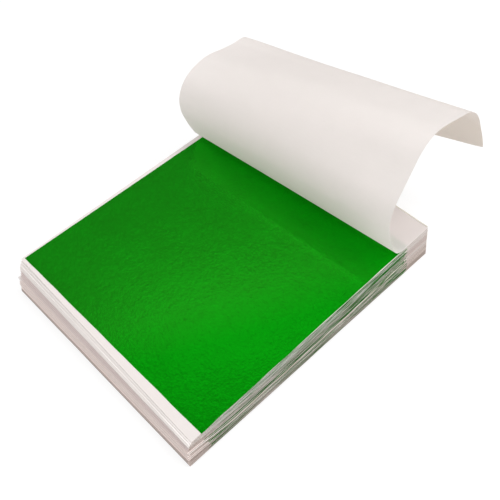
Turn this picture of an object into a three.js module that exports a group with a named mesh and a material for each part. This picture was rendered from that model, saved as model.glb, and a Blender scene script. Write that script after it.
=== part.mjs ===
// A booklet of coloured imitation leaf. Metal leaves lie loose on interleaf papers that are glued together
// along the back edge. A cover tissue is held by the same glue and is rolled back to show the top leaf.
// Millimetres and degrees, +Z up, front edge towards -Y. The origin is under the middle of the lowest paper.
import * as THREE from 'three';

// The metal leaf
const leafWidth = 80;
const leafDepth = 80;
const leafThickness = 0.02;
const leafCount = 25;
const leafSkew = 2.1; // how far the front left corner of a leaf reaches past its front right corner
const leafSlant = 1.4; // how far the back left corner of a leaf stands in from its front left corner

// Bare paper round the leaf
const leftMargin = 0.4;
const rightMargin = 0.6;
const frontMargin = 7.3;
const backMargin = 9.2;

// The interleaf papers and the way they lie
const paperThickness = 0.2;
const layGap = 0.04; // between a sheet and the one it lies on
const airGap = 0.14; // between a leaf and the paper over it, at the front right corner
const levelPapers = 12; // papers at the bottom that lie level
const leftLift = 5.5; // rise of the top paper towards its left edge
const backLift = 2.2; // rise of the top paper towards its back edge
const leanForward = 0.5; // how far the top paper stands in front of the lowest
const lowerPapers = 15; // papers of the lower bundle, cut wider than the rest
const lowerExtra = 2.8; // how much further they reach to the left
const frontSkew = 1.3; // how far their front left corners reach past their front right corners
const stray = 0.3; // how far a paper strays to either side at the front edge; the glued edges are even
const strayFront = 0.25; // uneven cutting at the front edge
const strayStep = 1.05; // how fast the unevenness changes from paper to paper, in radians
const steppedPapers = 6; // papers at the top whose front edges stand back in steps
const leanFront = 1.9; // how far the front edges lean back below the stepped papers
const stepBack = 0.34; // depth of one such step

// The glue along the back edge
const glueThickness = 0.4;
const glueInset = 1.5; // from either end of the back edge

// The cover tissue and its roll
const tissueThickness = 0.1;
const tissueGap = 0.1; // between the tissue and the top leaf
const heldDepth = 14.65; // flat part behind the lift line, at the middle of the tissue
const liftSkew = 5.2; // slant of the lift line
const rollReach = 340; // from the middle of the lift line to the point where the roll's straight lines meet
const tissueOverhang = 1.25; // past the front edges of the papers, when it lies flat
const stripGap = 0.3; // between two neighbouring strips of the roll
const rungSpacing = 0.6; // between two straight lines of a strip
const cornerBlunt = 1; // length of the last straight line at the free left corner

// The roll's bends from the lift line on: share of the free length, and how far the tissue turns there
const rollBends = [
  { share: 0.054, turn: 69 },
  { share: 0.113, turn: 12 },
  { share: 0.113, turn: 47 },
  { share: 0.135, turn: 31 },
  { share: 0.112, turn: 34 },
  { share: 0.114, turn: 5 },
  { share: 0.126, turn: 60 },
  { share: 0.233, turn: 20 },
];
// Where the roll is parted into strips that turn on each other, as shares of the free length
const rollParts = [0.033, 0.2, 0.345, 0.49, 0.705];

const paperWidth = leftMargin + leafWidth + rightMargin;
const paperDepth = frontMargin + leafDepth + backMargin;
const leftEdge = -paperWidth / 2;
const rightEdge = paperWidth / 2;
const frontEdge = -paperDepth / 2;
const backEdge = paperDepth / 2;
const pitch = paperThickness + layGap + leafThickness + airGap;
const topPaper = leafCount - 1;
const sideShift = lowerExtra / 2; // the lowest paper is centred over the origin

const leafGreen = { color: 0x0b8f12, roughness: 0.35, metalness: 0.85 };
const paperWhite = { color: 0xe6dfdb, roughness: 0.9, metalness: 0 };
const tissueWhite = { color: 0xebe6e2, roughness: 0.85, metalness: 0 };
const glueClear = { color: 0xd9d4c8, roughness: 0.5, metalness: 0 };

const booklet = new THREE.Group();

// A thin closed solid laid on rungs. Each rung has a left end, a right end and the step to the upper face.
function sheetSolid(rungs) {
  const points = [];
  for (const { left, right, up } of rungs) {
    points.push(left, right, right.clone().add(up), left.clone().add(up));
  }
  const faces = [[0, 3, 2, 1]];
  for (let base = 0; base + 4 < points.length; base += 4) {
    for (let side = 0; side < 4; side += 1) {
      const next = (side + 1) % 4;
      faces.push([base + side, base + next, base + 4 + next, base + 4 + side]);
    }
  }
  const last = points.length - 4;
  faces.push([last, last + 1, last + 2, last + 3]);
  const geometry = new THREE.BufferGeometry().setFromPoints(points);
  geometry.setIndex(faces.flatMap(([a, b, c, d]) => [a, b, c, a, c, d]));
  const faceted = geometry.toNonIndexed();
  faceted.computeVertexNormals();
  return faceted;
}

function addSheet(group, name, rungs, look) {
  const mesh = new THREE.Mesh(sheetSolid(rungs), new THREE.MeshStandardMaterial(look));
  mesh.name = name;
  group.add(mesh);
}

// A number between -1 and 1 that wanders slowly from sheet to sheet
function wander(index, phase) {
  return Math.sin(index * strayStep + phase);
}

// How far a paper stands out of place in plan, at a distance along its depth
function paperShift(index, along) {
  const loose = stray * (backEdge - along) / paperDepth;
  return new THREE.Vector2(sideShift + loose * wander(index, -0.56), -leanForward * index / topPaper);
}

// Height of a paper's lower face at a point of that paper. The upper papers fan up to the left and the back.
function paperHeight(index, across, along) {
  const fan = Math.max(0, index + 1 - levelPapers) / (leafCount - levelPapers);
  const lift = leftLift * (rightEdge - across) / paperWidth + backLift * (along - frontEdge) / paperDepth;
  return index * pitch + fan * lift;
}

// A point lying at a height over a paper's lower face
function onPaper(index, across, along, over) {
  const shift = paperShift(index, along);
  const height = paperHeight(index, across, along) + over;
  return new THREE.Vector3(shift.x + across, shift.y + along, height);
}

function addPaper(index, name) {
  const left = index < lowerPapers ? leftEdge - lowerExtra : leftEdge;
  const firstStep = topPaper - steppedPapers;
  const steps = Math.max(0, index - firstStep);
  const lean = leanFront * Math.min(1, index / firstStep);
  const front = frontEdge + strayFront * wander(index, 1.3) + lean + stepBack * steps;
  // The skew fades out from the lower bundle to the top paper.
  const skewed = frontSkew / 2 * Math.min(1, (topPaper - index) / (topPaper - lowerPapers));
  const up = new THREE.Vector3(0, 0, paperThickness);
  const rungs = [
    { left: onPaper(index, left, backEdge, 0), right: onPaper(index, rightEdge, backEdge, 0), up },
    { left: onPaper(index, left, front - skewed, 0), right: onPaper(index, rightEdge, front + skewed, 0), up },
  ];
  addSheet(booklet, name, rungs, paperWhite);
}

function addLeaf(index, name) {
  const over = paperThickness + layGap;
  const back = backEdge - backMargin;
  const front = back - leafDepth;
  const left = leftEdge + leftMargin;
  const right = left + leafWidth;
  const up = new THREE.Vector3(0, 0, leafThickness);
  const rungs = [
    { left: onPaper(index, left + leafSlant, back, over), right: onPaper(index, right, back, over), up },
    { left: onPaper(index, left, front - leafSkew, over), right: onPaper(index, right, front, over), up },
  ];
  addSheet(booklet, name, rungs, leafGreen);
}

for (let index = 0; index < leafCount; index += 1) {
  const number = String(index + 1).padStart(2, '0');
  addPaper(index, `interleaf_${number}`);
  addLeaf(index, `leaf_${number}`);
}

// The glue is a thin skin that follows the back edges of the papers up to the cover tissue.
const tissueOver = paperThickness + layGap + leafThickness + tissueGap;

function addGlue() {
  const up = new THREE.Vector3(0, glueThickness, 0);
  const along = backEdge + layGap;
  const rungs = [];
  for (let index = 0; index < leafCount; index += 1) {
    const left = onPaper(index, leftEdge + glueInset, along, 0);
    const right = onPaper(index, rightEdge - glueInset, along, 0);
    rungs.push({ left, right, up });
  }
  const rise = new THREE.Vector3(0, 0, tissueOver + tissueThickness);
  const { left, right } = rungs[topPaper];
  rungs.push({ left: left.clone().add(rise), right: right.clone().add(rise), up });
  addSheet(booklet, 'spine_glue', rungs, glueClear);
}

addGlue();

// The tissue lies in a group of its own, flat on the sloping top of the stack, with +Z square to it.
const tissue = new THREE.Group();
const slopeRight = new THREE.Vector3(1, 0, -leftLift / paperWidth).normalize();
const slopeBack = new THREE.Vector3(0, 1, backLift / paperDepth);
const slopeUp = new THREE.Vector3().crossVectors(slopeRight, slopeBack).normalize();
slopeBack.crossVectors(slopeUp, slopeRight);
tissue.quaternion.setFromRotationMatrix(new THREE.Matrix4().makeBasis(slopeRight, slopeBack, slopeUp));
tissue.position.copy(onPaper(topPaper, 0, 0, tissueOver));
booklet.add(tissue);

// The roll is a cone: its straight lines meet at one point, and it unrolls flat without stretching.
const skew = THREE.MathUtils.degToRad(liftSkew);
const liftMiddle = new THREE.Vector3(0, backEdge - heldDepth, 0);
const alongLift = new THREE.Vector3(Math.cos(skew), Math.sin(skew), 0);
const towardsFront = new THREE.Vector3(Math.sin(skew), -Math.cos(skew), 0);
const meetingPoint = liftMiddle.clone().addScaledVector(alongLift, -rollReach);
const down = new THREE.Vector3(0, 0, -1);
const liftBasis = new THREE.Matrix4().makeBasis(alongLift, towardsFront, down);
const liftFrame = new THREE.Quaternion().setFromRotationMatrix(liftBasis);

// Distance from the lift line, at the roll's reach, of the straight line through a point of the flat tissue
function rollDistance(across, along) {
  const angle = Math.atan2(along - meetingPoint.y, across - meetingPoint.x);
  return (skew - angle) * rollReach;
}

const tissueFront = frontEdge - tissueOverhang;
const rightCorner = rollDistance(rightEdge, tissueFront);
const leftCorner = rollDistance(leftEdge, tissueFront);

// Direction of a straight line of the roll, and the way out of its lower face, after the bends before it
function rollFrame(distance) {
  const frame = liftFrame.clone();
  let ahead = distance;
  for (const { share, turn } of rollBends) {
    const length = share * leftCorner;
    const run = Math.min(ahead, length);
    const bend = THREE.MathUtils.degToRad(turn) * rollReach / length;
    const axis = new THREE.Vector3(-bend, 0, 1);
    const angle = axis.length() * run / rollReach;
    frame.multiply(new THREE.Quaternion().setFromAxisAngle(axis.normalize(), angle));
    ahead -= run;
    if (ahead <= 0) {
      break;
    }
  }
  return frame;
}

// One straight line across the tissue, from its left edge to its right edge or its front edge
function rollRung(distance) {
  const frame = rollFrame(distance);
  const direction = new THREE.Vector3(1, 0, 0).applyQuaternion(frame);
  const flatAngle = skew - distance / rollReach;
  const toLeft = (leftEdge - meetingPoint.x) / Math.cos(flatAngle);
  const toRight = (rightEdge - meetingPoint.x) / Math.cos(flatAngle);
  const toFront = distance > rightCorner ? (tissueFront - meetingPoint.y) / Math.sin(flatAngle) : toRight;
  return {
    left: meetingPoint.clone().addScaledVector(direction, toLeft),
    right: meetingPoint.clone().addScaledVector(direction, Math.min(toRight, toFront)),
    up: new THREE.Vector3(0, 0, -tissueThickness).applyQuaternion(frame),
  };
}

function rungsBetween(start, end) {
  const steps = Math.ceil((end - start) / rungSpacing);
  const rungs = [];
  for (let step = 0; step <= steps; step += 1) {
    rungs.push(rollRung(start + (end - start) * step / steps));
  }
  return rungs;
}

const partLines = rollParts.map((share) => share * leftCorner);

// The strip that the glue holds lies flat and ends in the first half of the lifting bend.
function addHeldStrip() {
  const back = {
    left: new THREE.Vector3(leftEdge, backEdge, 0),
    right: new THREE.Vector3(rightEdge, backEdge, 0),
    up: new THREE.Vector3(0, 0, tissueThickness),
  };
  const lip = rungsBetween(0, partLines[0] - stripGap / 2);
  addSheet(tissue, 'tissue_held_strip', [back, ...lip], tissueWhite);
}

function addRollStrips() {
  // The straight line that is only cornerBlunt long lies this far short of the free left corner.
  const slant = leftCorner / rollReach - skew;
  const lastLine = leftCorner - cornerBlunt * Math.tan(slant);
  partLines.forEach((line, index) => {
    const start = line + stripGap / 2;
    const name = `tissue_roll_${index + 1}`;
    if (index + 1 < partLines.length) {
      addSheet(tissue, name, rungsBetween(start, partLines[index + 1] - stripGap / 2), tissueWhite);
    } else {
      const whole = rungsBetween(start, rightCorner);
      const cut = rungsBetween(rightCorner, lastLine);
      addSheet(tissue, name, [...whole, ...cut.slice(1)], tissueWhite);
    }
  });
}

addHeldStrip();
addRollStrips();

export default booklet;
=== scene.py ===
import math
import bpy
from mathutils import Matrix, Quaternion, Vector, noise


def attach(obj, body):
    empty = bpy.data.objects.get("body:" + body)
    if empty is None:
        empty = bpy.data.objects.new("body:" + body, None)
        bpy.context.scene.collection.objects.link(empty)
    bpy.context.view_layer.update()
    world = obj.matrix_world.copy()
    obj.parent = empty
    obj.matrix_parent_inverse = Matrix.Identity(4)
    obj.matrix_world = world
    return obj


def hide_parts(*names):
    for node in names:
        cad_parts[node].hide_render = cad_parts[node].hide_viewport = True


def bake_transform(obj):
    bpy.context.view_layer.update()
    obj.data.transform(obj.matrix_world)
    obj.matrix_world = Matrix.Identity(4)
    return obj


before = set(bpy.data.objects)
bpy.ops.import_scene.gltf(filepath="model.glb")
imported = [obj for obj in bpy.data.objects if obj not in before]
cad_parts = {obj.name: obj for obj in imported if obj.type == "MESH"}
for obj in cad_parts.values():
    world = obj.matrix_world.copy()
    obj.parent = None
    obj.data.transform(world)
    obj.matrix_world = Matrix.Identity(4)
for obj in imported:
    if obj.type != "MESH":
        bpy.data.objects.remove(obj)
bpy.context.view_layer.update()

scene = bpy.context.scene
scene.view_settings.view_transform = "Standard"
mm = 0.001

# Camera, in metres and degrees
cameraView = {
    "place": (0.11697, -0.07041, 0.16690),
    "forward": (-0.53187, 0.37688, -0.75833),
    "roll": -9.82,
    "fieldOfView": 40.26,
    "clipStart": 10 * mm,
}


def makeCamera():
    data = bpy.data.cameras.new("photoCamera")
    data.sensor_fit = "HORIZONTAL"
    data.angle = math.radians(cameraView["fieldOfView"])
    data.clip_start = cameraView["clipStart"]
    camera = bpy.data.objects.new("photoCamera", data)
    facing = Vector(cameraView["forward"]).to_track_quat("-Z", "Y")
    turned = facing @ Quaternion((0, 0, 1), math.radians(cameraView["roll"]))
    camera.matrix_world = Matrix.Translation(cameraView["place"]) @ turned.to_matrix().to_4x4()
    scene.collection.objects.link(camera)
    scene.camera = camera


makeCamera()
print("camera placed")

# Small helpers for node trees


def addNode(tree, kind, **inputs):
    node = tree.nodes.new(kind)
    for name, value in inputs.items():
        node.inputs[name.replace("_", " ")].default_value = value
    return node


def feed(tree, socket, value):
    # a constant is set on the socket, and an output is linked to it
    if isinstance(value, (int, float, tuple)):
        socket.default_value = value
    else:
        tree.links.new(value, socket)


def mathNode(tree, operation, first, second):
    node = tree.nodes.new("ShaderNodeMath")
    node.operation = operation
    feed(tree, node.inputs[0], first)
    feed(tree, node.inputs[1], second)
    return node.outputs[0]


def weightedSum(tree, *terms):
    # terms are outputs, each with its weight
    parts = [mathNode(tree, "MULTIPLY", value, weight) for value, weight in terms]
    total = parts[0]
    for part in parts[1:]:
        total = mathNode(tree, "ADD", total, part)
    return total


def mixValues(tree, factor, first, second):
    node = tree.nodes.new("ShaderNodeMix")
    for name, value in (("Factor", factor), ("A", first), ("B", second)):
        feed(tree, node.inputs[name], value)
    return node.outputs["Result"]


def mixColors(tree, factor, first, second, blend="MIX"):
    node = tree.nodes.new("ShaderNodeMix")
    node.data_type = "RGBA"
    node.blend_type = blend
    # the factor and the two colours among a mix node's many sockets
    for number, value in ((0, factor), (6, first), (7, second)):
        feed(tree, node.inputs[number], value)
    return node.outputs[2]


def rampValue(tree, value, begin, full):
    node = addNode(tree, "ShaderNodeMapRange", From_Min=begin, From_Max=full)
    tree.links.new(value, node.inputs["Value"])
    return node.outputs[0]


def noiseValue(tree, vector, scale, detail, roughness):
    node = addNode(tree, "ShaderNodeTexNoise", Detail=detail, Roughness=roughness)
    tree.links.new(scale, node.inputs["Scale"])
    tree.links.new(vector, node.inputs["Vector"])
    return node.outputs["Fac"]


def turnedVector(tree, vector, turn, stretch):
    node = addNode(tree, "ShaderNodeMapping", Rotation=(0.0, 0.0, turn), Scale=stretch)
    tree.links.new(vector, node.inputs["Vector"])
    return node.outputs[0]


def addBump(tree, shader, height, distance):
    bump = addNode(tree, "ShaderNodeBump", Distance=distance)
    tree.links.new(height, bump.inputs["Height"])
    tree.links.new(bump.outputs["Normal"], shader.inputs["Normal"])
    return bump


def raysAmong(tree, *kinds):
    # 1 for rays of these kinds and 0 for all others
    path = tree.nodes.new("ShaderNodeLightPath")
    mask = path.outputs[kinds[0]]
    for kind in kinds[1:]:
        mask = mathNode(tree, "MAXIMUM", mask, path.outputs[kind])
    return mask


def newGroup(name, inputs, outputs):
    tree = bpy.data.node_groups.new(name, "ShaderNodeTree")
    tree.interface.new_socket("Vector", in_out="INPUT", socket_type="NodeSocketVector")
    for socketName, value in inputs.items():
        socket = tree.interface.new_socket(socketName, in_out="INPUT", socket_type="NodeSocketFloat")
        socket.default_value = value
    for socketName in outputs:
        tree.interface.new_socket(socketName, in_out="OUTPUT", socket_type="NodeSocketFloat")
    return tree, tree.nodes.new("NodeGroupInput"), tree.nodes.new("NodeGroupOutput")


def placeGroup(tree, group, vector, **inputs):
    node = tree.nodes.new("ShaderNodeGroup")
    node.node_tree = group
    for name, value in inputs.items():
        node.inputs[name].default_value = value
    tree.links.new(vector, node.inputs["Vector"])
    return node


def newMaterial(name):
    material = bpy.data.materials.new(name)
    material.use_nodes = True
    tree = material.node_tree
    return material, tree, tree.nodes["Principled BSDF"]


# Light, floor and backdrop
studio = {
    "skyLight": 0.45,    # what the sky gives to matt surfaces
    "skyShine": 0.36,    # what shiny surfaces see of it
    "skySeen": 1.0,      # what the camera sees of it
    "keyPlace": (-0.10, -0.43, 0.42),
    "keySize": 0.80,
    "keyPower": 1.94,
    "fillPlace": (0.30, 0.30, 0.60),
    "fillSize": 0.40,
    "fillPower": 2.55,
    "sheenPlace": (-0.148, 0.112, 0.440),
    "sheenLength": 0.30,
    "sheenWidth": 0.11,
    "sheenPower": 0.068,
    "aim": (0.0, 0.0, 0.012),
    "white": (1, 1, 1, 1),
    "floorSize": 6.0,
    "floorColor": (0.62, 0.62, 0.62, 1),    # what the floor throws back at the booklet
    "floorSeen": (0.30, 0.30, 0.30, 1),     # what is seen of its shadows
    "floorGlow": 0.76,                      # what lifts it to a pale white
}


def addLamp(name, place, length, width, power):
    lamp = bpy.data.lights.new(name, "AREA")
    lamp.shape = "ELLIPSE"
    lamp.size = length
    lamp.size_y = width
    lamp.energy = power
    holder = bpy.data.objects.new(name, lamp)
    facing = (Vector(studio["aim"]) - Vector(place)).to_track_quat("-Z", "Y")
    holder.matrix_world = Matrix.Translation(place) @ facing.to_matrix().to_4x4()
    scene.collection.objects.link(holder)
    return holder


def makeStudio():
    world = bpy.data.worlds.new("paleStudio")
    world.use_nodes = True
    tree = world.node_tree
    sky = tree.nodes["Background"]
    sky.inputs["Color"].default_value = studio["white"]
    shiny = raysAmong(tree, "Is Glossy Ray")
    seen = raysAmong(tree, "Is Camera Ray", "Is Transmission Ray")
    given = mixValues(tree, shiny, studio["skyLight"], studio["skyShine"])
    tree.links.new(mixValues(tree, seen, given, studio["skySeen"]), sky.inputs["Strength"])
    scene.world = world
    keySize, fillSize = studio["keySize"], studio["fillSize"]
    addLamp("keyLight", studio["keyPlace"], keySize, keySize, studio["keyPower"])
    fill = addLamp("fillLight", studio["fillPlace"], fillSize, fillSize, studio["fillPower"])
    fill.visible_glossy = False
    addLamp("sheenLight", studio["sheenPlace"], studio["sheenLength"], studio["sheenWidth"],
            studio["sheenPower"])


def makeFloor():
    half = studio["floorSize"] / 2
    mesh = bpy.data.meshes.new("floor")
    corners = [(-half, -half, 0), (half, -half, 0), (half, half, 0), (-half, half, 0)]
    mesh.from_pydata(corners, [], [(0, 1, 2, 3)])
    floor = bpy.data.objects.new("floor", mesh)
    scene.collection.objects.link(floor)
    material, tree, unused = newMaterial("paleFloor")
    tree.nodes.remove(unused)
    plain = addNode(tree, "ShaderNodeBsdfDiffuse", Color=studio["floorColor"])
    shown = addNode(tree, "ShaderNodeBsdfDiffuse", Color=studio["floorSeen"])
    glow = addNode(tree, "ShaderNodeEmission", Color=studio["white"], Strength=studio["floorGlow"])
    both = tree.nodes.new("ShaderNodeAddShader")
    tree.links.new(shown.outputs[0], both.inputs[0])
    tree.links.new(glow.outputs[0], both.inputs[1])
    mix = tree.nodes.new("ShaderNodeMixShader")
    seen = raysAmong(tree, "Is Camera Ray", "Is Glossy Ray", "Is Transmission Ray")
    tree.links.new(seen, mix.inputs[0])
    tree.links.new(plain.outputs[0], mix.inputs[1])
    tree.links.new(both.outputs[0], mix.inputs[2])
    tree.links.new(mix.outputs[0], tree.nodes["Material Output"].inputs["Surface"])
    mesh.materials.append(material)


makeStudio()
makeFloor()
print("studio ready")

# Paper fibres: fine felted threads, a cloudy look-through and a soft bump
fibrePattern = {
    "threadScale": 1400.0,
    "threadWays": [(0.4, (1.0, 0.28, 1.0)), (-0.7, (0.3, 1.0, 1.0))],    # turn and stretch
    "cloudScale": 180.0,
    "threadShade": 0.55,
    "cloudShade": 0.45,
    "cloudHeight": 0.35,
}


def makePaperFibre():
    scales = {"Thread": fibrePattern["threadScale"], "Cloud": fibrePattern["cloudScale"]}
    tree, source, result = newGroup("paperFibre", scales, ("Shade", "Height"))
    vector, threadScale, cloudScale = (source.outputs[name] for name in ("Vector", "Thread", "Cloud"))
    ways = [turnedVector(tree, vector, turn, stretch) for turn, stretch in fibrePattern["threadWays"]]
    crossing = [noiseValue(tree, way, threadScale, detail=3.0, roughness=0.6) for way in ways]
    threads = weightedSum(tree, *((thread, 1 / len(crossing)) for thread in crossing))
    cloud = noiseValue(tree, vector, cloudScale, detail=4.0, roughness=0.55)
    shade = weightedSum(tree, (threads, fibrePattern["threadShade"]), (cloud, fibrePattern["cloudShade"]))
    height = weightedSum(tree, (threads, 1.0), (cloud, fibrePattern["cloudHeight"]))
    tree.links.new(shade, result.inputs["Shade"])
    tree.links.new(height, result.inputs["Height"])
    return tree


# Leaf crinkle: pinhead grain, short creases and slow beaten hollows
crinklePattern = {
    "grainScale": 1500.0,
    "creaseShare": 0.4,    # of the grain's scale
    "creaseWay": (0.5, (1.0, 0.75, 1.0)),    # turn and stretch
    "hollowScale": 90.0,
    "heights": (1.3, 1.6, 1.2),     # shares of grain, creases and hollows in the bump
    "shades": (0.5, 0.25, 0.25),    # and in the colour
}


def makeLeafCrinkle():
    scales = {"Grain": crinklePattern["grainScale"], "Hollow": crinklePattern["hollowScale"]}
    tree, source, result = newGroup("leafCrinkle", scales, ("Height", "Shade"))
    vector, grainScale, hollowScale = (source.outputs[name] for name in ("Vector", "Grain", "Hollow"))
    creaseScale = mathNode(tree, "MULTIPLY", grainScale, crinklePattern["creaseShare"])
    slanted = turnedVector(tree, vector, *crinklePattern["creaseWay"])
    patterns = [
        noiseValue(tree, vector, grainScale, detail=2.0, roughness=0.6),
        noiseValue(tree, slanted, creaseScale, detail=3.0, roughness=0.6),
        noiseValue(tree, vector, hollowScale, detail=3.0, roughness=0.55),
    ]
    height = weightedSum(tree, *zip(patterns, crinklePattern["heights"]))
    shade = weightedSum(tree, *zip(patterns, crinklePattern["shades"]))
    tree.links.new(height, result.inputs["Height"])
    tree.links.new(shade, result.inputs["Shade"])
    return tree


paperFibre = makePaperFibre()
leafCrinkle = makeLeafCrinkle()


def paperFinish(light, dark, roughness, bump):
    return {"light": (*light, 1), "dark": (*dark, 1), "roughness": roughness, "bump": bump}


cutEdgeFinish = {
    # painted light: a pale tone on the front edges of the stepped top papers and of a stripe at the top of
    # the lower bundle
    "stepped": paperFinish((0.978, 0.930, 0.905), (0.935, 0.878, 0.850), 0.92, 0.03 * mm),
    "warm": paperFinish((0.960, 0.805, 0.742), (0.790, 0.645, 0.586), 0.95, 0.04 * mm),
    "grey": paperFinish((0.800, 0.675, 0.625), (0.580, 0.480, 0.435), 0.95, 0.04 * mm),
    # painted shade: a darker band on papers 16 to 19, under the pale top papers
    "shadowBand": paperFinish((0.700, 0.575, 0.540), (0.490, 0.395, 0.368), 0.95, 0.04 * mm),
    # painted shade: the darkest tone, on the bottom papers where the stack meets the floor
    "shaded": paperFinish((0.480, 0.385, 0.345), (0.320, 0.250, 0.222), 0.95, 0.04 * mm),
    "trimmed": paperFinish((0.372, 0.360, 0.297), (0.185, 0.188, 0.146), 0.95, 0.05 * mm),
    "bare": paperFinish((0.640, 0.515, 0.440), (0.390, 0.315, 0.262), 0.95, 0.05 * mm),
}
interleafFinish = {
    "top": paperFinish((0.845, 0.790, 0.765), (0.770, 0.710, 0.685), 0.88, 0.03 * mm),
    # painted light: a pale tone on the ledges of the stepped top papers and of a stripe at the top of the
    # lower bundle
    "stepped": paperFinish((0.972, 0.925, 0.900), (0.925, 0.870, 0.842), 0.88, 0.03 * mm),
    "warm": paperFinish((0.975, 0.875, 0.840), (0.920, 0.818, 0.782), 0.90, 0.03 * mm),
    "grey": paperFinish((0.925, 0.835, 0.800), (0.860, 0.770, 0.735), 0.90, 0.03 * mm),
    # painted shade: a darker band on papers 16 to 19, under the pale top papers
    "shadowBand": paperFinish((0.865, 0.768, 0.742), (0.785, 0.690, 0.665), 0.90, 0.03 * mm),
    # painted shade: the darkest tone, on the bottom papers where the stack meets the floor
    "shaded": paperFinish((0.640, 0.555, 0.522), (0.560, 0.480, 0.450), 0.90, 0.03 * mm),
}
paperSpecular = 0.25
tissueFinish = {
    **paperFinish((0.930, 0.908, 0.895), (0.838, 0.814, 0.798), 0.80, 0.035 * mm),
    "through": 0.5,                      # share of the light that goes through
    "glow": (0.945, 0.908, 0.890, 1),    # and its colour
    # along the sheet, where a tint begins, where it is full, and what it makes of the colours: painted shade
    # darkens the free end, whose inner side lies in shade, and painted light brightens the held strip, which
    # the roll shades
    "paintedLightAndShade": [(-0.026, -0.042, (0.962, 0.945, 0.912, 1)), (0.031, 0.037, (1.035, 1.035, 1.04, 1))],
}
leafFinish = {
    "light": (0.0078, 0.530, 0.0115, 1),
    "dark": (0.0155, 0.180, 0.0066, 1),
    # a purer green towards the right edge and the back, a painted reflection: less whitish sheen towards the
    # front right, and the curl's dark underside mirrored near the tissue; what it keeps of the colours, and
    # where it begins and where it is full
    "pure": (0.24, 1.0, 0.50, 1),
    "pureRight": (0.021, 0.036),
    "pureBack": (0.017, 0.028),
    "pureSlant": 0.5,    # how far the right limit moves out with each metre to the back
    "roughness": 0.24,
    "roughSpread": 0.12,
    "metallic": 0.80,
    "bump": 0.042 * mm,
}
glueFinish = {
    "light": (0.80, 0.77, 0.70, 1),
    "dark": (0.66, 0.62, 0.54, 1),
    "roughness": 0.38,
    "bump": 0.12 * mm,
    "threadScale": 500.0,
    "cloudScale": 120.0,
    "layerScale": 790.0,    # lines that the papers' edges leave in the glue
    "layerWaver": 3.0,
    "fibreShade": 0.7,
    "layerShade": 0.3,
    "layerHeight": 0.5,
}


def objectVector(tree):
    return tree.nodes.new("ShaderNodeTexCoord").outputs["Object"]


def splitVector(tree, vector):
    node = tree.nodes.new("ShaderNodeSeparateXYZ")
    tree.links.new(vector, node.inputs[0])
    return node.outputs


def finishPaper(tree, shader, finish, color, fibre):
    tree.links.new(color, shader.inputs["Base Color"])
    shader.inputs["Roughness"].default_value = finish["roughness"]
    shader.inputs["Specular IOR Level"].default_value = paperSpecular
    return addBump(tree, shader, fibre.outputs["Height"], finish["bump"])


def paperMaterial(name, finish):
    material, tree, shader = newMaterial(name)
    fibre = placeGroup(tree, paperFibre, objectVector(tree))
    color = mixColors(tree, fibre.outputs["Shade"], finish["dark"], finish["light"])
    finishPaper(tree, shader, finish, color, fibre)
    return material


def tissueMaterial():
    material, tree, shader = newMaterial("coverTissue")
    sheet = tree.nodes.new("ShaderNodeUVMap")
    sheet.uv_map = "flatSheet"
    vector = sheet.outputs["UV"]
    fibre = placeGroup(tree, paperFibre, vector)
    color = mixColors(tree, fibre.outputs["Shade"], tissueFinish["dark"], tissueFinish["light"])
    glow = tissueFinish["glow"]
    along = splitVector(tree, vector)["Y"]
    # painted shade darkens the free end and painted light brightens the held strip
    for begin, full, tint in tissueFinish["paintedLightAndShade"]:
        share = rampValue(tree, along, begin, full)
        color = mixColors(tree, share, color, tint, "MULTIPLY")
        glow = mixColors(tree, share, glow, tint, "MULTIPLY")
    bump = finishPaper(tree, shader, tissueFinish, color, fibre)
    through = tree.nodes.new("ShaderNodeBsdfTranslucent")
    tree.links.new(glow, through.inputs["Color"])
    tree.links.new(bump.outputs["Normal"], through.inputs["Normal"])
    mix = addNode(tree, "ShaderNodeMixShader", Fac=tissueFinish["through"])
    tree.links.new(shader.outputs[0], mix.inputs[1])
    tree.links.new(through.outputs[0], mix.inputs[2])
    tree.links.new(mix.outputs[0], tree.nodes["Material Output"].inputs["Surface"])
    return material


def leafMaterial():
    material, tree, shader = newMaterial("greenLeaf")
    vector = objectVector(tree)
    crinkle = placeGroup(tree, leafCrinkle, vector)
    shade = crinkle.outputs["Shade"]
    color = mixColors(tree, shade, leafFinish["dark"], leafFinish["light"])
    # painted reflection: less red, a purer green, towards the front right and near the tissue
    spot = splitVector(tree, vector)
    slanted = mathNode(tree, "MULTIPLY", spot["Y"], leafFinish["pureSlant"])
    right = rampValue(tree, mathNode(tree, "SUBTRACT", spot["X"], slanted), *leafFinish["pureRight"])
    back = rampValue(tree, spot["Y"], *leafFinish["pureBack"])
    pure = mathNode(tree, "MAXIMUM", right, back)
    color = mixColors(tree, pure, color, leafFinish["pure"], "MULTIPLY")
    tree.links.new(color, shader.inputs["Base Color"])
    shader.inputs["Metallic"].default_value = leafFinish["metallic"]
    shader.inputs["Specular IOR Level"].default_value = 0.0
    spread = leafFinish["roughSpread"]
    rough = mathNode(tree, "MULTIPLY", shade, spread)
    rough = mathNode(tree, "ADD", rough, leafFinish["roughness"] - spread / 2)
    tree.links.new(rough, shader.inputs["Roughness"])
    addBump(tree, shader, crinkle.outputs["Height"], leafFinish["bump"])
    return material


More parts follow.
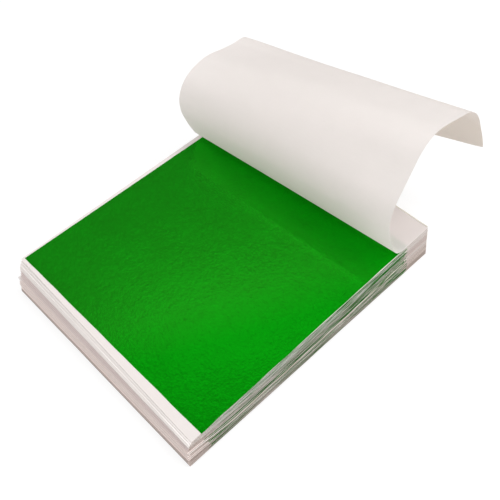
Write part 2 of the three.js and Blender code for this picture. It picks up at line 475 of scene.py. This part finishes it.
def glueMaterial():
    material, tree, shader = newMaterial("paddingGlue")
    vector = objectVector(tree)
    fibre = placeGroup(tree, paperFibre, vector,
                       Thread=glueFinish["threadScale"], Cloud=glueFinish["cloudScale"])
    layers = addNode(tree, "ShaderNodeTexWave", Scale=glueFinish["layerScale"],
                     Distortion=glueFinish["layerWaver"], Detail=2.0)
    layers.bands_direction = "Z"
    tree.links.new(vector, layers.inputs["Vector"])
    lines = layers.outputs["Fac"]
    shade = weightedSum(tree, (fibre.outputs["Shade"], glueFinish["fibreShade"]),
                        (lines, glueFinish["layerShade"]))
    color = mixColors(tree, shade, glueFinish["dark"], glueFinish["light"])
    tree.links.new(color, shader.inputs["Base Color"])
    shader.inputs["Roughness"].default_value = glueFinish["roughness"]
    height = weightedSum(tree, (fibre.outputs["Height"], 1.0), (lines, glueFinish["layerHeight"]))
    addBump(tree, shader, height, glueFinish["bump"])
    return material


interleafs = {tone: paperMaterial(f"{tone}Interleaf", finish) for tone, finish in interleafFinish.items()}
cutEdges = {tone: paperMaterial(f"{tone}CutEdge", finish) for tone, finish in cutEdgeFinish.items()}
coverTissue = tissueMaterial()
greenLeaf = leafMaterial()
paddingGlue = glueMaterial()
print("finishes ready")

# The stack of papers, in metres, laid as the solids are
stack = {
    "count": 25,
    "paperWidth": 81 * mm,
    "paperDepth": 96.5 * mm,
    "paperThickness": 0.2 * mm,
    "layGap": 0.04 * mm,
    "pitch": 0.4 * mm,
    "levelPapers": 12,         # papers above these fan up
    "leftLift": 5.5 * mm,      # by this much at the left edge
    "backLift": 2.2 * mm,      # and this much at the back
    "leanForward": 0.5 * mm,
    "lowerPapers": 15,         # the lower bundle
    "lowerExtra": 2.8 * mm,    # and how much further left it reaches
    "flushPapers": 4,          # papers above it that get more and more flush
    "frontSkew": 1.3 * mm,
    "stray": 0.3 * mm,         # how far papers lie off sideways
    "strayPhase": -0.56,
    "strayFront": 0.25 * mm,   # and at the front
    "strayFrontPhase": 1.3,
    "strayStep": 1.05,
    "steppedPapers": 6,        # top papers that stand back in steps at the front
    "leanFront": 1.9 * mm,
    "stepBack": 0.34 * mm,
    # tones of the papers from the bottom up, each with the number of papers up to its top; painted shade
    # makes the bottom papers and papers 16 to 19 darker, and painted light makes papers 13, 14 and 20 to 23
    # pale
    "batches": [("shaded", 5), ("warm", 8), ("grey", 12), ("warm", 13), ("stepped", 15), ("warm", 16),
                ("shadowBand", 20), ("stepped", 24), ("top", 25)],
    "litStripeRight": 2,            # top papers of the lower bundle whose right edges are warm: painted light, a pale stripe where the bundle's ledge catches the light
    "bareFront": (2, 4, 3),    # rows of the right edge without leaf at the front, in turn
    "bareBack": (4, 5),        # and at the back
    "ripple": 0.45 * mm,       # slow waves that the papers share
    "rippleScale": 38,
    "rippleStep": 0.07,
    "flutter": 0.05 * mm,      # small waves of each paper
    "flutterScale": 130,
    "flutterStep": 5.3,
    "stillBack": 18 * mm,      # no waves this near to the glue
    "waveGrowth": 0.6,         # and full waves after this share of the depth
    "cornerSpread": 0.6 * mm,  # the lower bundle spreads at the front right corner
    "cornerReach": 18 * mm,
    "sidePress": 1.3 * mm,     # and is pressed down along the right side
    "pressWidth": 40 * mm,
    "pressFront": (2 * mm, 16 * mm),    # where the press begins, and over what length it grows
    "pressBack": (6 * mm, 30 * mm),
    "edgeWaver": 0.06 * mm,    # uneven cut
    "edgeScale": 90,
    "edgeStep": 3.1,
    "columns": 36,
    "rows": 40,
}
topPaper = stack["count"] - 1
rightEdge = stack["paperWidth"] / 2
leftEdge = -rightEdge
backEdge = stack["paperDepth"] / 2
frontEdge = -backEdge


def noiseAt(x, y, z):
    return noise.noise(Vector((x, y, z)))


def limited(value):
    return max(0.0, min(1.0, value))


def smoothStep(value):
    value = limited(value)
    return value * value * (3 - 2 * value)


def wander(index, phase):
    return math.sin(index * stack["strayStep"] + phase)


def paperShift(index, along):
    # the papers above the lower bundle lie flush with the top one
    flush = smoothStep((index - stack["lowerPapers"] + 1) / stack["flushPapers"])
    phase = stack["strayPhase"]
    straying = wander(index, phase) * (1 - flush) + wander(topPaper, phase) * flush
    loose = stack["stray"] * (backEdge - along) / stack["paperDepth"]
    across = stack["lowerExtra"] / 2 + loose * straying
    return Vector((across, -stack["leanForward"] * index / topPaper, 0))


def paperHeight(index, across, along):
    fan = max(0, index + 1 - stack["levelPapers"]) / (stack["count"] - stack["levelPapers"])
    lift = stack["leftLift"] * (rightEdge - across) / stack["paperWidth"]
    lift += stack["backLift"] * (along - frontEdge) / stack["paperDepth"]
    return index * stack["pitch"] + fan * lift


def paperWaves(index, across, along):
    # the lowest and the top paper stay flat, so that the top leaf slides over its paper
    slack = min(1.0, index, topPaper - index)
    swell = math.sin(math.pi * index / topPaper)
    free = limited((backEdge - stack["stillBack"] - along) / (stack["waveGrowth"] * stack["paperDepth"]))
    slow, small = stack["rippleScale"], stack["flutterScale"]
    shared = noiseAt(across * slow, along * slow, index * stack["rippleStep"])
    own = noiseAt(across * small, along * small, index * stack["flutterStep"])
    return free * (swell * stack["ripple"] * shared + slack * stack["flutter"] * own)


def bundleShape(index, across, along):
    # most where the lower bundle meets the papers above it
    border = stack["lowerPapers"] - 0.5
    share = index / border if index < border else (topPaper - index) / (topPaper - border)
    corner = max(0.0, 1 - math.hypot(across - rightEdge, along - frontEdge) / stack["cornerReach"])
    (front, frontGrowth), (back, backGrowth) = stack["pressFront"], stack["pressBack"]
    side = smoothStep((across - rightEdge) / stack["pressWidth"] + 1)
    side *= smoothStep((along - frontEdge - front) / frontGrowth)
    side *= smoothStep((backEdge - back - along) / backGrowth)
    return share * (stack["cornerSpread"] * corner * corner - stack["sidePress"] * side)


def onPaper(index, across, along, over):
    height = paperHeight(index, across, along) + over
    height += paperWaves(index, across, along) + bundleShape(index, across, along)
    return paperShift(index, along) + Vector((across, along, height))


def gridNormals(grid):
    # normals of a grid of points, from the neighbours of each point along both ways of the grid
    rows, columns = len(grid) - 1, len(grid[0]) - 1
    normals = []
    for row in range(rows + 1):
        line = []
        for column in range(columns + 1):
            across = grid[row][min(column + 1, columns)] - grid[row][max(column - 1, 0)]
            along = grid[min(row + 1, rows)][column] - grid[max(row - 1, 0)][column]
            line.append(across.cross(along).normalized())
        normals.append(line)
    return normals


def sheetPiece(name, grid, normals, thickness, material, edges=()):
    # a closed thin sheet: lower and upper grids joined round the edge
    # edges are the materials of its front, right, back and left edge
    rows, columns = len(grid) - 1, len(grid[0]) - 1
    points = [place for line in grid for place in line]
    ups = [up for line in normals for up in line]
    size = len(points)
    points = points + [place + up * thickness for place, up in zip(points, ups)]

    def at(layer, row, column):
        return layer * size + row * (columns + 1) + column

    faces = []
    for row in range(rows):
        for column in range(columns):
            quad = [(row, column), (row, column + 1), (row + 1, column + 1), (row + 1, column)]
            faces.append([at(1, *spot) for spot in quad])
            faces.append([at(0, *spot) for spot in reversed(quad)])
    rimStart = len(faces)
    rim = [(0, column) for column in range(columns)]
    rim += [(row, columns) for row in range(rows)]
    rim += [(rows, column) for column in range(columns, 0, -1)]
    rim += [(row, 0) for row in range(rows, 0, -1)]
    for here, ahead in zip(rim, rim[1:] + rim[:1]):
        faces.append([at(0, *here), at(0, *ahead), at(1, *ahead), at(1, *here)])
    mesh = bpy.data.meshes.new(name)
    mesh.from_pydata(points, [], faces)
    mesh.polygons.foreach_set("use_smooth", [True] * len(mesh.polygons))
    # smooth over both sides, sharp at the rim
    cornerNormals = []
    for polygon in mesh.polygons:
        for vertex in polygon.vertices:
            if polygon.index >= rimStart:
                cornerNormals.append(polygon.normal)
            else:
                cornerNormals.append(ups[vertex - size] if vertex >= size else -ups[vertex])
    mesh.normals_split_custom_set(cornerNormals)
    for finish in (material, *edges):
        mesh.materials.append(finish)
    if edges:
        sides = [1] * columns + [2] * rows + [3] * columns + [4] * rows
        for side, polygon in zip(sides, mesh.polygons[rimStart:]):
            polygon.material_index = side
    piece = bpy.data.objects.new(name, mesh)
    scene.collection.objects.link(piece)
    return piece


def sheetMesh(name, columns, rows, pointAt, thickness, material, edges=()):
    # pointAt takes the shares of the way along the columns and along the rows
    grid = []
    for row in range(rows + 1):
        grid.append([pointAt(column / columns, row / rows) for column in range(columns + 1)])
    return sheetPiece(name, grid, gridNormals(grid), thickness, material, edges)


def paperTone(index):
    return next(tone for tone, end in stack["batches"] if index < end)


def paperEdges(index, tone):
    lower = stack["lowerPapers"]
    # the top paper's front edge takes the pale stepped tone: painted light
    front = "stepped" if tone == "top" else tone
    # papers 13 and 14 get warm right edges: a painted light stripe round the near corner
    right = "warm" if lower - stack["litStripeRight"] <= index < lower else "trimmed"
    return [cutEdges[edge] for edge in (front, right, "bare", "bare")]


def makePaper(index):
    left = leftEdge - (stack["lowerExtra"] if index < stack["lowerPapers"] else 0)
    firstStep = topPaper - stack["steppedPapers"]
    lean = stack["leanFront"] * min(1, index / firstStep)
    lean += stack["stepBack"] * max(0, index - firstStep)
    front = frontEdge + stack["strayFront"] * wander(index, stack["strayFrontPhase"]) + lean
    skew = stack["frontSkew"] / 2 * min(1, (topPaper - index) / (topPaper - stack["lowerPapers"]))
    scale = stack["edgeScale"]

    def pointAt(right, back):
        outward = 2 * right - 1    # from -1 at the left edge to 1 at the right edge
        across = left + right * (rightEdge - left)
        start = front + skew * outward
        along = start + back * (backEdge - start)
        cut = stack["edgeWaver"] * noiseAt(across * scale, index * stack["edgeStep"], along * scale)
        return onPaper(index, across + cut * outward, along - cut * (1 - back), 0)

    number = f"{index + 1:02d}"
    tone = paperTone(index)
    columns, rows = stack["columns"], stack["rows"]
    piece = sheetMesh(f"paper_{number}", columns, rows, pointAt, stack["paperThickness"],
                      interleafs[tone], paperEdges(index, tone))
    # the right edge looks like the back edge where no leaf lies: at both ends
    polygons = piece.data.polygons
    backSide = 3
    rightStart = len(polygons) - columns - 2 * rows
    bareFront = stack["bareFront"][index % len(stack["bareFront"])]
    bareBack = stack["bareBack"][index % len(stack["bareBack"])]
    for row in [*range(bareFront), *range(rows - bareBack, rows)]:
        polygons[rightStart + row].material_index = backSide
    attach(piece, "booklet")
    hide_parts(f"interleaf_{number}")


# Metal leaf, loose on each paper
leafSheet = {
    "width": 80 * mm,
    "depth": 80 * mm,
    "thickness": 0.02 * mm,
    "leftMargin": 0.7 * mm,
    "backMargin": 9.2 * mm,
    "skew": 2.1 * mm,
    "slant": 1.1 * mm,
    "leftTrim": 0.3 * mm,     # how much less wide the leaves look than their solids
    "edgeWaver": 0.12 * mm,
    "edgeScale": 160,
    "edgeStep": 2.3,
    "topReach": 0.62 * mm,    # how far the top leaf reaches out to the right edge, at the front
    "topRetreat": 0.25 * mm,  # how much less far it reaches at the back
    "lowerReach": 0.50 * mm,  # how far a lower leaf reaches out
    "ragged": 0.06 * mm,      # how far its right edge is torn back towards the front
    "raggedShare": 0.4,       # on this share of its depth
    "raggedMean": 0.6,
    "raggedSpread": 0.9,
    "raggedScale": 28,
    "raggedStep": 5.1,
    "raggedLayer": 3.0,
    "frontSlip": 1.3 * mm,    # how far its front edge lies off
    "frontSlipStep": 2.4,
    "backSlip": 1.5 * mm,     # and its back edge
    "backSlipStep": 1.9,
    "ridge": 0.05 * mm,       # a pressed line across the top leaf, in front of the tissue
    "ridgeWidth": 1.1 * mm,
    "ridgeAlong": 18.3 * mm,
    "ridgeSlant": 0.066,
    "lip": 0.16 * mm,         # torn lip of a lower leaf that hangs over the edge
    "lipDroop": 0.24 * mm,
    "lipMean": 0.7,
    "lipSpread": 0.9,
    "lipScale": 420,
    "lipStep": 7.7,
    "lipLayer": 1.0,
    "lipShare": 0.8,
    "lipGrowth": 3,           # how steeply it widens towards the back
    "grid": (36, 110),
    "topGrid": (60, 160),
}


def leafReach(index, back):
    if index == topPaper:
        return leafSheet["topReach"] - leafSheet["topRetreat"] * back
    torn = noiseAt(back * leafSheet["raggedScale"], index * leafSheet["raggedStep"], leafSheet["raggedLayer"])
    torn = leafSheet["raggedMean"] + leafSheet["raggedSpread"] * torn
    share = max(0.0, 1 - back / leafSheet["raggedShare"])
    return leafSheet["lowerReach"] - leafSheet["ragged"] * share * torn


def leafSlip(index, back):
    # how far a lower leaf's front edge lies off to the back, and its back edge to the front
    front = leafSheet["frontSlip"] * (1 + math.sin(index * leafSheet["frontSlipStep"])) / 2
    rear = leafSheet["backSlip"] * (1 + math.sin(index * leafSheet["backSlipStep"])) / 2
    return front * (1 - back) - rear * back


def pressedLine(across, along):
    off = along - leafSheet["ridgeAlong"] - leafSheet["ridgeSlant"] * across
    return leafSheet["ridge"] * math.exp(-((off / leafSheet["ridgeWidth"]) ** 2))


def lipShare(index, along, back):
    torn = noiseAt(along * leafSheet["lipScale"], index * leafSheet["lipStep"], leafSheet["lipLayer"])
    torn = max(0.0, leafSheet["lipMean"] + leafSheet["lipSpread"] * torn)
    return min(1.0, torn * leafSheet["lipShare"] * back ** leafSheet["lipGrowth"])


def makeLeaf(index):
    isTop = index == topPaper
    columns, rows = leafSheet["topGrid"] if isTop else leafSheet["grid"]
    left = leftEdge + leafSheet["leftMargin"]
    width = leafSheet["width"] - leafSheet["leftTrim"]
    backLine = backEdge - leafSheet["backMargin"]
    scale = leafSheet["edgeScale"]

    def pointAt(right, back):
        # the last column of a lower leaf is its lip
        inner = right if isTop else min(1.0, right * columns / (columns - 1))
        across = left + leafSheet["slant"] * back * (1 - inner) + inner * (width + leafReach(index, back))
        along = backLine - (leafSheet["depth"] + leafSheet["skew"] * (1 - inner)) * (1 - back)
        cut = leafSheet["edgeWaver"] * noiseAt(across * scale, along * scale, index * leafSheet["edgeStep"])
        across += cut * (2 * inner - 1) * (inner if isTop else 1)
        along += cut * (1 - back)
        over = stack["paperThickness"] + stack["layGap"]
        if isTop:
            over += pressedLine(across, along)
        else:
            along += leafSlip(index, back)
            if right == 1:
                share = lipShare(index, along, back)
                across += leafSheet["lip"] * share
                over -= leafSheet["lipDroop"] * share
        return onPaper(index, across, along, over)

    number = f"{index + 1:02d}"
    piece = sheetMesh(f"metal_leaf_{number}", columns, rows, pointAt, leafSheet["thickness"], greenLeaf)
    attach(piece, "top_leaf" if isTop else "booklet")
    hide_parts(f"leaf_{number}")


for index in range(stack["count"]):
    makePaper(index)
    makeLeaf(index)
print("papers and leaves laid")

# Glue along the back edge, brushed on unevenly
glueSkin = {
    "thickness": 0.4 * mm,
    "inset": 0.5 * mm,     # from the papers' sides
    "over": 0.46 * mm,     # up to the top of the tissue, from the top paper's underside
    "clear": 0.06 * mm,    # over the table
    "clearGrowth": 8,
    "lump": 0.11 * mm,
    "lumps": [(1.0, 160, 6, 2.0), (0.6, 500, 18, 7.0)],    # share, both scales and layer of each noise
    "taper": 0.3,          # how soon the lumps die away at both ends
    "columns": 110,
    "rows": 60,
}


def onGlueLine(index, across):
    shift = paperShift(index, backEdge)
    height = paperHeight(index, across, backEdge)
    return Vector((shift.x + across, shift.y + backEdge + stack["layGap"], height))


def makeGlue():
    def pointAt(left, up):
        across = (1 - 2 * left) * (rightEdge - glueSkin["inset"])
        climb = up * topPaper
        lower = min(int(climb), topPaper - 1)
        place = onGlueLine(lower, across).lerp(onGlueLine(lower + 1, across), climb - lower)
        place.z += up * glueSkin["over"] + (1 - up) ** glueSkin["clearGrowth"] * glueSkin["clear"]
        lump = sum(share * noiseAt(across * wide, up * high, layer)
                   for share, wide, high, layer in glueSkin["lumps"])
        place.y += glueSkin["lump"] * lump * math.sin(math.pi * left) ** glueSkin["taper"]
        return place

    piece = sheetMesh("padding_glue", glueSkin["columns"], glueSkin["rows"], pointAt,
                      glueSkin["thickness"], paddingGlue)
    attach(piece, "booklet")
    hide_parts("spine_glue")


makeGlue()
print("glue brushed on")

# The cover tissue: a cone whose straight lines meet at one point, in the tissue's own flat frame
tissue = {
    "thickness": 0.1 * mm,
    "over": 0.36 * mm,
    "heldDepth": 14.65 * mm,
    "liftSkew": 5.2,
    "rollReach": 340 * mm,
    "overhang": 1.25 * mm,
    # share of the roll's length and degrees of each bend
    "bends": [(0.054, 69), (0.113, 12), (0.113, 47), (0.135, 31), (0.112, 34), (0.114, 5), (0.126, 60),
              (0.233, 20)],
    "parts": [0.033, 0.2, 0.345, 0.49, 0.705],    # where the hinges lie
    "rungSpacing": 0.45 * mm,
    "heldRungs": 24,
    "columns": 60,
    "shortestLine": 0.6 * mm,             # the last straight line, at the left corner
    "blendMargin": 0.1,                   # share of a section's length at each end, where a mark on the roll is taken
    "cockle": 0.10 * mm,
    "cockleScale": 55,
    "cockleLayer": 4.0,
    "stillBack": 30 * mm,                 # no cockle this near to the glue
    "cockleGrowth": 50 * mm,
    "frontReach": 2.2 * mm,               # the photographed sheet is a little longer than the solids
    "leftBow": (1.3 * mm, 0.26, 0.11),    # how far the left edge bows out, its middle and its width
    "crease": (1.1 * mm, 0.70, 0.045),    # how far the ridge's left end stands out, its middle and width
    # how the real sheet leaves the cone at its side edges: share of the roll's length, and mm inwards
    "leftEdge": [(0.0, 0.0), (0.07, -0.2), (0.26, -0.28), (0.32, -0.5), (0.37, -0.2), (0.44, 0.9),
                 (0.53, 1.8), (0.62, 1.4), (0.70, 0.5), (0.78, 0.0)],
    "rightEdge": [(0.16, 0.0), (0.25, 0.9), (0.31, 1.7), (0.36, 1.5), (0.42, 0.1), (0.48, -0.6),
                  (0.55, -0.3), (0.63, 0.1), (0.70, 0.0), (0.78, -0.5), (0.86, -1.7), (1.0, -2.3)],
}
slopeX = Vector((1, 0, -stack["leftLift"] / stack["paperWidth"])).normalized()
slopeZ = slopeX.cross(Vector((0, 1, stack["backLift"] / stack["paperDepth"]))).normalized()
slopeY = slopeZ.cross(slopeX)
tissueFrame = Matrix((slopeX, slopeY, slopeZ)).transposed().to_4x4()
tissueHeight = paperHeight(topPaper, 0, 0) + tissue["over"]
tissueFrame.translation = paperShift(topPaper, 0) + Vector((0, 0, tissueHeight))

liftAngle = math.radians(tissue["liftSkew"])
alongLift = Vector((math.cos(liftAngle), math.sin(liftAngle), 0))
towardsFront = Vector((math.sin(liftAngle), -math.cos(liftAngle), 0))
meetingPoint = Vector((0, backEdge - tissue["heldDepth"], 0)) - alongLift * tissue["rollReach"]
liftFrame = Matrix((alongLift, towardsFront, Vector((0, 0, -1)))).transposed().to_quaternion()


def rollDistance(across, along):
    turned = math.atan2(along - meetingPoint.y, across - meetingPoint.x)
    return (liftAngle - turned) * tissue["rollReach"]


tissueFront = frontEdge - tissue["overhang"]
seenFront = tissueFront - tissue["frontReach"]
leftCorner = rollDistance(leftEdge, tissueFront)    # the roll's length, as the solids have it
rightEnd = rollDistance(rightEdge, seenFront)
leftEnd = rollDistance(leftEdge, seenFront)


def rollFrame(distance):
    # how the cone has turned at this distance; the last bend runs on past the solids
    turned = liftFrame.copy()
    ahead = distance
    for number, (share, turn) in enumerate(tissue["bends"], 1):
        length = share * leftCorner
        run = ahead if number == len(tissue["bends"]) else min(ahead, length)
        bend = math.radians(turn) * tissue["rollReach"] / length
        axis = Vector((-bend, 0, 1))
        turned = turned @ Quaternion(axis.normalized(), axis.length * run / tissue["rollReach"])
        ahead -= run
        if ahead <= 0:
            break
    return turned


def smoothLine(marks, along):
    # a smooth line through the marks, level beyond both ends
    last = len(marks) - 1
    along = max(marks[0][0], min(marks[last][0], along))
    number = next(n for n in range(last) if along <= marks[n + 1][0])

    def slopeAt(n):
        if n in (0, last):
            return 0.0
        return (marks[n + 1][1] - marks[n - 1][1]) / (marks[n + 1][0] - marks[n - 1][0])

    (start, first), (end, second) = marks[number], marks[number + 1]
    t = (along - start) / (end - start)
    leave, meet = slopeAt(number) * (end - start), slopeAt(number + 1) * (end - start)
    rise = (second * (3 - 2 * t) - meet * (1 - t)) * t * t
    return (first * (1 + 2 * t) + leave * t) * (1 - t) ** 2 + rise


def hump(shape, along):
    height, middle, width = shape
    return height * math.exp(-(((along - middle) / width) ** 2))


def rollPoint(distance, share):
    # a point on the roll's straight line at this distance, from the left edge to the right or front
    # edge, with the way up and its place on the flat sheet
    turned = rollFrame(distance)
    flat = liftAngle - distance / tissue["rollReach"]
    along = distance / leftCorner
    toLeft = (leftEdge - meetingPoint.x) / math.cos(flat) - hump(tissue["leftBow"], along)
    toRight = (rightEdge - meetingPoint.x) / math.cos(flat)
    if distance > rightEnd:
        toRight = min(toRight, (seenFront - meetingPoint.y) / math.sin(flat))
    reach = toLeft + share * (toRight - toLeft)
    nearLeft, nearRight = smoothStep(1 - 2 * share), smoothStep(2 * share - 1)
    tuck = (smoothLine(tissue["leftEdge"], along) * mm - hump(tissue["crease"], along)) * nearLeft
    tuck += smoothLine(tissue["rightEdge"], along) * mm * nearRight
    up = turned @ Vector((0, 0, -1))
    place = meetingPoint + turned @ Vector((reach, 0, 0)) + up * tuck
    onFlat = (meetingPoint.x + reach * math.cos(flat), meetingPoint.y + reach * math.sin(flat))
    return place, up, onFlat


def heldPoint(depth, share):
    # the flat part behind the lift line; depth 0 is the back edge and 1 the lift line
    back = Vector((leftEdge + share * stack["paperWidth"], backEdge, 0))
    place = back.lerp(rollPoint(0, share)[0], depth)
    return place, Vector((0, 0, 1)), (place.x, place.y)


def cockled(place, up, onFlat):
    across, along = onFlat
    scale = tissue["cockleScale"]
    free = limited((backEdge - tissue["stillBack"] - along) / tissue["cockleGrowth"])
    cockle = tissue["cockle"] * free * noiseAt(across * scale, along * scale, tissue["cockleLayer"])
    return tissueFrame @ (place + up * cockle)


def rungRange(start, end):
    steps = max(2, math.ceil((end - start) / tissue["rungSpacing"]))
    return [start + (end - start) * step / steps for step in range(steps)]


def rollMark(distance):
    # a point of the roll that all lines pass at the same reach, in the frame of the whole booklet
    return tissueFrame @ (meetingPoint + rollFrame(distance) @ Vector((tissue["rollReach"], 0, 0)))


def makeTissue():
    hinges = [share * leftCorner for share in tissue["parts"]]
    endAngle = leftEnd / tissue["rollReach"] - liftAngle
    lastLine = leftEnd - tissue["shortestLine"] * math.tan(endAngle)
    seams = [(here + ahead) / 2 for here, ahead in zip(hinges, hinges[1:])] + [lastLine]
    starts = [0.0] + seams[:-1]
    shares = [1 - column / tissue["columns"] for column in range(tissue["columns"] + 1)]
    held = tissue["heldRungs"]
    rungs = [[heldPoint(depth / held, share) for share in shares] for depth in range(held)]
    firstRows = [0]
    for start, end in zip(starts, seams):
        for distance in rungRange(start, end):
            rungs.append([rollPoint(distance, share) for share in shares])
        firstRows.append(len(rungs))
    rungs.append([rollPoint(lastLine, share) for share in shares])
    grid = [[cockled(*point) for point in rung] for rung in rungs]
    normals = gridNormals(grid)
    flats = [[onFlat for place, up, onFlat in rung] for rung in rungs]
    margin = tissue["blendMargin"]
    for number, (start, hinge, end) in enumerate(zip(starts, hinges, seams)):
        first, last = firstRows[number], firstRows[number + 1] + 1
        piece = sheetPiece(f"cover_tissue_{number + 1}", grid[first:last], normals[first:last],
                           tissue["thickness"], coverTissue)
        layer = piece.data.uv_layers.new(name="flatSheet")
        spots = [spot for line in flats[first:last] for spot in line] * 2
        for loop in piece.data.loops:
            layer.data[loop.index].uv = spots[loop.vertex_index]
        near = rollMark(start + margin * (hinge - start))
        far = rollMark(end - margin * (end - hinge))
        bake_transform(piece)
        heldSolid = ["tissue_held_strip"] if number == 0 else []
        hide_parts(f"tissue_roll_{number + 1}", *heldSolid)


makeTissue()
print("cover tissue rolled back")
